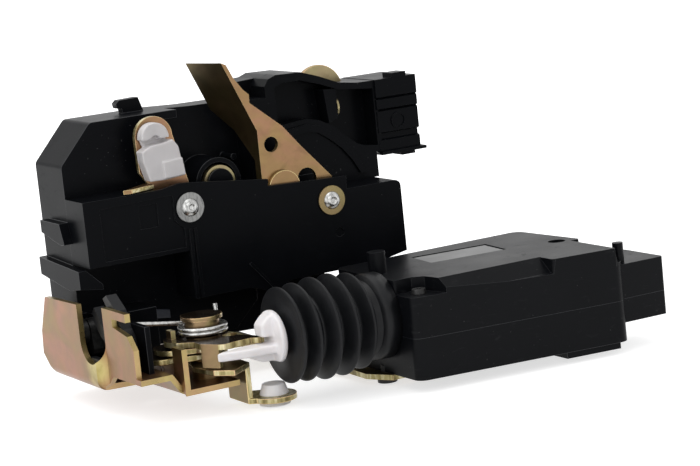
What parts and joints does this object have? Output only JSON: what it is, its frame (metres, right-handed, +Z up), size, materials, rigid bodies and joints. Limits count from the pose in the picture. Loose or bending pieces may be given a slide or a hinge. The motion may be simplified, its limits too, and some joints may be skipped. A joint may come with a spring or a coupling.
{
  "type": "door latch actuator",
  "caption": "Car door latch with a plated steel striker plate, black lever housing and an electric locking actuator with rubber bellows",
  "frame": {"origin": "midway between the two fixing holes, on the underside of the base sheet", "axes": "+X from the latch plate towards the actuator's connector, -Y the lever side that the picture shows, +Z up, away from the base sheet"},
  "size_m": [0.196, 0.1308, 0.1167],
  "materials": {
    "zinc_steel": "yellow zinc chromate plate with a pink tint",
    "bright_steel": "bright zinc plate",
    "black_plastic": "moulded black nylon, faint grain",
    "claw_coating": "black plastic moulded over steel",
    "spring_wire": "drawn spring wire",
    "rubber": "black rubber",
    "white_nylon": "milky white nylon",
    "brass_blade": "plain brass",
    "black_screw": "black oxide"
  },
  "bodies": {
    "frame": {"latch_plate": "zinc_steel", "weld_nuts": "bright_steel", "latch_carrier": "black_plastic", "claw_pin": "bright_steel", "claw_spring": "spring_wire", "pawl_pin": "bright_steel", "pawl_spring": "spring_wire", "bump_stop": "rubber", "housing": "black_plastic", "front_cover": "black_plastic", "cover_rivets": "bright_steel", "left_washer": "zinc_steel", "right_washer": "zinc_steel", "ring_spring": "spring_wire", "key_casing": "black_plastic", "key_pin": "bright_steel", "casing_eyelet": "zinc_steel", "lever_pin": "zinc_steel", "foot_collar": "zinc_steel", "lower_collar": "zinc_steel", "spring_hub": "zinc_steel", "lever_spring": "spring_wire", "bellows": "rubber", "upper_shell": "black_plastic", "lower_shell": "black_plastic", "connector_terminals": "brass_blade", "actuator_bracket": "zinc_steel", "bracket_screws": "black_screw", "lid_screw": "black_screw", "bracket_rivets": "bright_steel", "motor": "bright_steel", "gear_pin": "bright_steel"},
    "claw": {"claw": "claw_coating"},
    "pawl": {"pawl": "bright_steel"},
    "release_lever": {"release_lever": "zinc_steel"},
    "tongue_lever": {"tongue_lever": "zinc_steel"},
    "knob_lever": {"knob_lever": "zinc_steel"},
    "rod_clip": {"rod_clip": "white_nylon"},
    "key_disc": {"key_disc": "zinc_steel"},
    "inside_lever": {"inside_lever": "zinc_steel", "inside_bush": "white_nylon"},
    "transfer_lever": {"transfer_lever": "zinc_steel"},
    "middle_lever": {"middle_lever": "zinc_steel"},
    "lock_lever": {"lock_lever": "zinc_steel"},
    "rod": {"rod_link": "white_nylon", "push_rod": "bright_steel"},
    "gear": {"gear_wheel": "white_nylon"},
    "worm": {"motor_worm": "white_nylon"}
  },
  "joints": [
    {"name": "claw_turn", "type": "hinge", "parent": "frame", "child": "claw", "pos_m": [-0.0148, -0.032, 0.017], "axis": [-1, 0, 0], "range_deg": [0, 45], "stiffness_Nm_per_rad": 0.03, "springref_deg": -34.38},
    {"name": "pawl_turn", "type": "hinge", "parent": "frame", "child": "pawl", "pos_m": [-0.0148, -0.004, 0.019], "axis": [-1, 0, 0], "range_deg": [0, 20]},
    {"name": "release_turn", "type": "hinge", "parent": "frame", "child": "release_lever", "pos_m": [0.0853, -0.005, 0.0511], "axis": [0, -1, 0], "range_deg": [0, 12], "stiffness_Nm_per_rad": 0.12, "springref_deg": -28.65},
    {"name": "tongue_turn", "type": "hinge", "parent": "frame", "child": "tongue_lever", "pos_m": [0.0267, -0.007, 0.0579], "axis": [0, 1, 0], "range_deg": [0, 5], "stiffness_Nm_per_rad": 0.05, "springref_deg": -28.65},
    {"name": "knob_turn", "type": "hinge", "parent": "frame", "child": "knob_lever", "pos_m": [0.0267, -0.001, 0.0579], "axis": [0, 1, 0], "range_deg": [0, 12]},
    {"name": "clip_turn", "type": "hinge", "parent": "knob_lever", "child": "rod_clip", "pos_m": [0.0192, -0.003, 0.0846], "axis": [0, 1, 0], "range_deg": [-20, 20]},
    {"name": "key_turn", "type": "hinge", "parent": "frame", "child": "key_disc", "pos_m": [0.101, 0.021, 0.089], "axis": [0, 1, 0], "range_deg": [-45, 45]},
    {"name": "inside_turn", "type": "hinge", "parent": "frame", "child": "inside_lever", "pos_m": [0.012, -0.0416, 0.007], "axis": [0, 0, 1], "range_deg": [0, 18], "stiffness_Nm_per_rad": 0.06, "springref_deg": -22.92},
    {"name": "transfer_turn", "type": "hinge", "parent": "frame", "child": "transfer_lever", "pos_m": [0.012, -0.0416, 0.0106], "axis": [0, 0, 1], "range_deg": [-12, 12]},
    {"name": "middle_turn", "type": "hinge", "parent": "frame", "child": "middle_lever", "pos_m": [0.012, -0.0416, 0.0131], "axis": [0, 0, 1], "range_deg": [-12, 12]},
    {"name": "lock_turn", "type": "hinge", "parent": "frame", "child": "lock_lever", "pos_m": [0.012, -0.0416, 0.0162], "axis": [0, 0, 1], "range_deg": [-22, 0]},
    {"name": "rod_slide", "type": "slide", "parent": "frame", "child": "rod", "axis": [-1, 0, 0], "range_m": [0, 0.01], "deforming": ["bellows"]},
    {"name": "gear_turn", "type": "hinge", "parent": "frame", "child": "gear", "pos_m": [0.092, -0.0575, 0.008], "axis": [0, 0, 1], "continuous": true},
    {"name": "worm_turn", "type": "hinge", "parent": "frame", "child": "worm", "pos_m": [0.093, -0.045, 0.008], "axis": [1, 0, 0], "continuous": true}
  ],
  "couplings": [
    {"joint": "lock_turn", "follows": "rod_slide", "rad_per_m": -37.874},
    {"joint": "gear_turn", "follows": "rod_slide", "rad_per_m": 250},
    {"joint": "worm_turn", "follows": "rod_slide", "rad_per_m": 5000}
  ]
}
